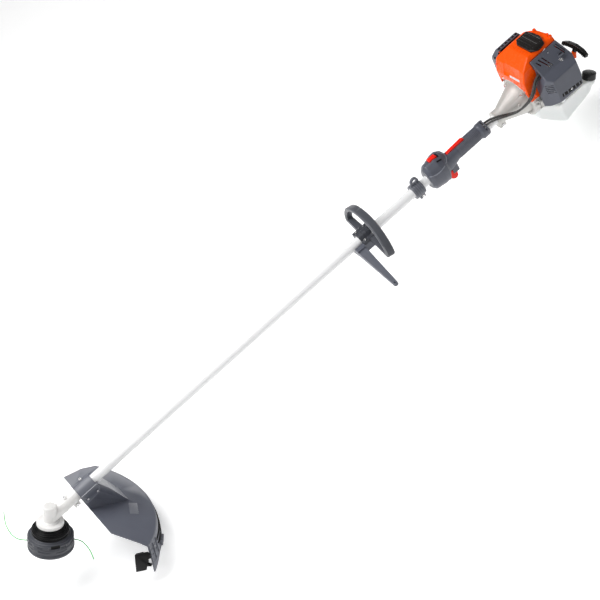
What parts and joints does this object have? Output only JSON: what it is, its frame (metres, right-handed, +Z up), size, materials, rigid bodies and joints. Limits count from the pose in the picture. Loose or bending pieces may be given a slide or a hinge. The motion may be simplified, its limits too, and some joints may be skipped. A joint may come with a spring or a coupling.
{
  "type": "petrol string trimmer",
  "caption": "Straight-shaft petrol string trimmer with bump-feed line head, cutting guard, loop handle with barrier bar, throttle grip and rear engine.",
  "frame": {"origin": "centre of the harness eye above the shaft", "axes": "+X along the shaft from the cutting head to the engine, +Y to the side of the muffler, +Z up, towards the operator's side of the shaft"},
  "size_m": [1.9031, 0.3796, 0.3376],
  "materials": {
    "tube_enamel": "glossy light enamel",
    "grey_enamel": "satin light enamel on a casting",
    "steel": "machined steel",
    "cast_aluminium": "shot-blasted die casting",
    "orange_plastic": "glossy moulding",
    "grey_plastic": "satin blue-grey moulding",
    "black_plastic": "satin black moulding",
    "red_plastic": "satin red moulding",
    "soft_grip": "soft matt grip",
    "dark_rubber": "matt rubber",
    "nylon_line": "glossy drawn nylon",
    "cable_jacket": "ribbed conduit",
    "filter_foam": "open foam",
    "clear_bulb": "translucent soft moulding",
    "rope": "braided cord",
    "tank_plastic": "translucent blow moulding"
  },
  "bodies": {
    "chassis": {"ball_bearings": "steel", "barrier_bar": "grey_plastic", "cap_screws": "steel", "carburettor": "cast_aluminium", "clutch_housing": "cast_aluminium", "crankcase": "cast_aluminium", "cutter_sheath": "black_plastic", "cylinder": "cast_aluminium", "engine_cover": "orange_plastic", "filter_cover": "grey_plastic", "filter_element": "filter_foam", "fuel_tank": "tank_plastic", "gearbox_housing": "grey_enamel", "grip_shell_left": "grey_plastic", "grip_shell_right": "grey_plastic", "guard_bracket": "grey_plastic", "guard_shell": "grey_plastic", "hanger_ring": "grey_plastic", "ignition_coil": "black_plastic", "line_cutter": "steel", "loop_clamp_top": "grey_plastic", "loop_handle": "soft_grip", "muffler": "steel", "muffler_cover": "grey_plastic", "plug_boot": "dark_rubber", "plug_cover": "black_plastic", "shaft_bushings": "dark_rubber", "shaft_tube": "tube_enamel", "spark_plug": "steel", "starter_housing": "orange_plastic", "switch_lead": "cable_jacket", "throttle_cable": "cable_jacket"},
    "cutting_head": {"output_spindle": "steel", "output_gear": "steel", "dust_ring": "black_plastic", "head_housing": "grey_plastic", "line_spool": "black_plastic", "head_spring": "steel", "head_cover": "grey_plastic", "line_eyelets": "cast_aluminium", "line_end_long": "nylon_line", "line_end_short": "nylon_line"},
    "bump_knob": {"bump_knob": "black_plastic"},
    "drive": {"drive_shaft": "steel", "pinion_gear": "steel", "clutch_drum": "steel"},
    "crank": {"crankshaft": "steel", "flywheel": "cast_aluminium", "clutch_shoes": "steel"},
    "piston": {"piston": "cast_aluminium"},
    "throttle_trigger": {"throttle_trigger": "red_plastic"},
    "lockout_lever": {"lockout_lever": "red_plastic"},
    "stop_switch": {"stop_switch": "red_plastic"},
    "starter_handle": {"starter_handle": "black_plastic", "starter_rope": "rope"},
    "starter_pulley": {"starter_pulley": "black_plastic"},
    "primer_bulb": {"primer_bulb": "clear_bulb"},
    "choke_knob": {"choke_lever": "grey_plastic"},
    "fuel_cap": {"fuel_cap": "black_plastic"}
  },
  "joints": [
    {"name": "head_spin", "type": "hinge", "parent": "chassis", "child": "cutting_head", "pos_m": [-1.238, 0, -0.027], "axis": [0.5299, 0, 0.848], "continuous": true},
    {"name": "knob_bump", "type": "slide", "parent": "cutting_head", "child": "bump_knob", "axis": [0.5299, 0, 0.848], "range_m": [0, 0.006], "stiffness_N_per_m": 4000},
    {"name": "drive_spin", "type": "hinge", "parent": "chassis", "child": "drive", "pos_m": [-1, 0, -0.027], "axis": [1, 0, 0], "continuous": true},
    {"name": "crank_spin", "type": "hinge", "parent": "chassis", "child": "crank", "pos_m": [0.4, 0, -0.027], "axis": [1, 0, 0], "continuous": true},
    {"name": "piston_stroke", "type": "slide", "parent": "chassis", "child": "piston", "axis": [0, 0, 1], "range_m": [-0.014, 0.014]},
    {"name": "trigger_pull", "type": "hinge", "parent": "chassis", "child": "throttle_trigger", "pos_m": [0.084, 0, -0.057], "axis": [0, -1, 0], "range_deg": [0, 18], "stiffness_Nm_per_rad": 1.2},
    {"name": "lockout_press", "type": "hinge", "parent": "chassis", "child": "lockout_lever", "pos_m": [0.116, 0, -0.007], "axis": [0, 1, 0], "range_deg": [0, 5], "stiffness_Nm_per_rad": 4},
    {"name": "stop_slide", "type": "slide", "parent": "chassis", "child": "stop_switch", "axis": [1, 0, 0], "range_m": [0, 0.006]},
    {"name": "starter_pull", "type": "slide", "parent": "chassis", "child": "starter_handle", "axis": [0.5507, -0.1502, 0.8211], "range_m": [0, 0.8]},
    {"name": "pulley_turn", "type": "hinge", "parent": "chassis", "child": "starter_pulley", "pos_m": [0.497, 0, -0.027], "axis": [1, 0, 0], "range_deg": [0, 1640]},
    {"name": "primer_press", "type": "slide", "parent": "chassis", "child": "primer_bulb", "axis": [0, 0, 1], "range_m": [0, 0.004], "stiffness_N_per_m": 2500},
    {"name": "choke_turn", "type": "hinge", "parent": "chassis", "child": "choke_knob", "pos_m": [0.476, -0.08259, 0.06382], "axis": [0, -0.7655, 0.6434], "range_deg": [0, 90]},
    {"name": "cap_turn", "type": "hinge", "parent": "chassis", "child": "fuel_cap", "pos_m": [0.54, -0.05, -0.0948], "axis": [0.4852, 0, 0.8744], "range_deg": [0, 180]}
  ],
  "couplings": [
    {"joint": "drive_spin", "follows": "head_spin", "ratio": -1.3748},
    {"joint": "pulley_turn", "follows": "starter_pull", "rad_per_m": 35.714}
  ]
}
